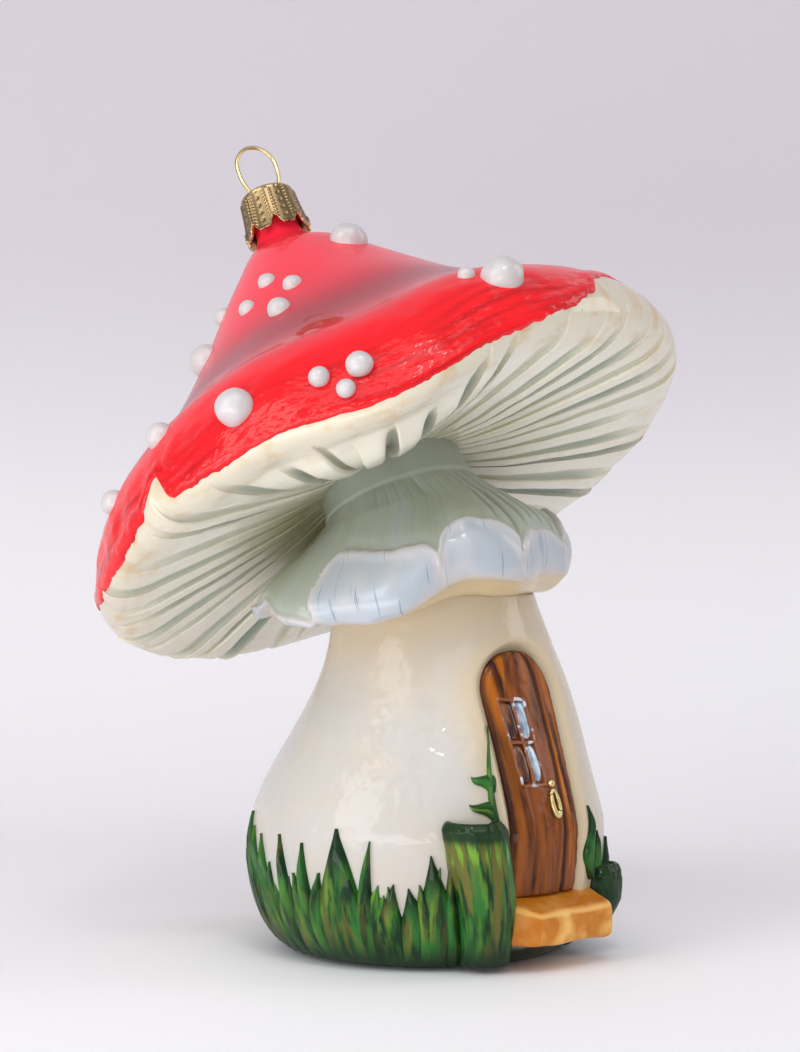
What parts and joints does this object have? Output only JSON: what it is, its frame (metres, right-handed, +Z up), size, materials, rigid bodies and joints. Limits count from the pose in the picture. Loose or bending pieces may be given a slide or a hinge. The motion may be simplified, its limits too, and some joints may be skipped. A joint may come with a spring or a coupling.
{
  "type": "toadstool house ornament",
  "caption": "Hanging glass ornament in the form of a leaning red toadstool house with an arched door, a step and grass; it stands on its flat base or hangs from a wire loop in its crown.",
  "frame": {"origin": "middle of the flat base that the ornament stands on", "axes": "+Z up along the stem, the door faces -Y"},
  "size_m": [0.105, 0.0912, 0.1347],
  "materials": {
    "opal_glass": "opal lacquer inside clear blown glass, glossy",
    "grey_glass": "grey-blue lacquered glass, glossy",
    "cream_glass": "cream lacquered glass with grey-green shading, glossy",
    "red_glass": "red lacquered glass, high gloss",
    "white_glass": "white enamel drops, glossy",
    "door_paint": "brown hand-painted lacquer, glossy",
    "silvered_pane": "silver-blue painted panes, glossy",
    "gold_paint": "gold paint, satin",
    "ochre_glass": "ochre lacquered glass, glossy",
    "green_glass": "dark green lacquered glass, glossy",
    "crown_brass": "stamped thin sheet, antique gold",
    "wire_brass": "drawn wire, pale gold"
  },
  "bodies": {
    "glass": {"stem_shell": "opal_glass", "collar": "grey_glass", "door_leaf": "door_paint", "window_frame": "door_paint", "pane_lower_left": "silvered_pane", "pane_lower_right": "silvered_pane", "pane_upper_left": "silvered_pane", "pane_upper_right": "silvered_pane", "knocker_ring": "gold_paint", "knocker_stud": "gold_paint", "door_step": "ochre_glass", "bush_left": "green_glass", "bush_right": "green_glass", "grass_ring": "green_glass", "door_tuft": "green_glass", "door_vine": "green_glass", "cap_shell": "red_glass", "gill_plate": "cream_glass", "wart_1": "white_glass", "wart_2": "white_glass", "wart_3": "white_glass", "wart_4": "white_glass", "wart_5": "white_glass", "wart_6": "white_glass", "wart_7": "white_glass", "wart_8": "white_glass", "wart_9": "white_glass", "wart_10": "white_glass", "wart_11": "white_glass", "wart_12": "white_glass", "wart_13": "white_glass", "wart_14": "white_glass", "wart_15": "white_glass", "wart_16": "white_glass", "wart_17": "white_glass", "wart_18": "white_glass", "wart_19": "white_glass", "wart_20": "white_glass", "wart_21": "white_glass", "wart_22": "white_glass", "wart_23": "white_glass", "wart_24": "white_glass"},
    "crown": {"crown_cap": "crown_brass"},
    "hanger": {"hanger_wire": "wire_brass"}
  },
  "joints": [
    {"name": "crown_pull", "type": "slide", "parent": "glass", "child": "crown", "axis": [-0.0147, 0.4224, 0.9063], "range_m": [0, 0.024]},
    {"name": "hanger_rock", "type": "hinge", "parent": "crown", "child": "hanger", "pos_m": [-0.00136, 0.03887, 0.12584], "axis": [0.9191, -0.3512, 0.1786], "range_deg": [-8, 8]}
  ]
}
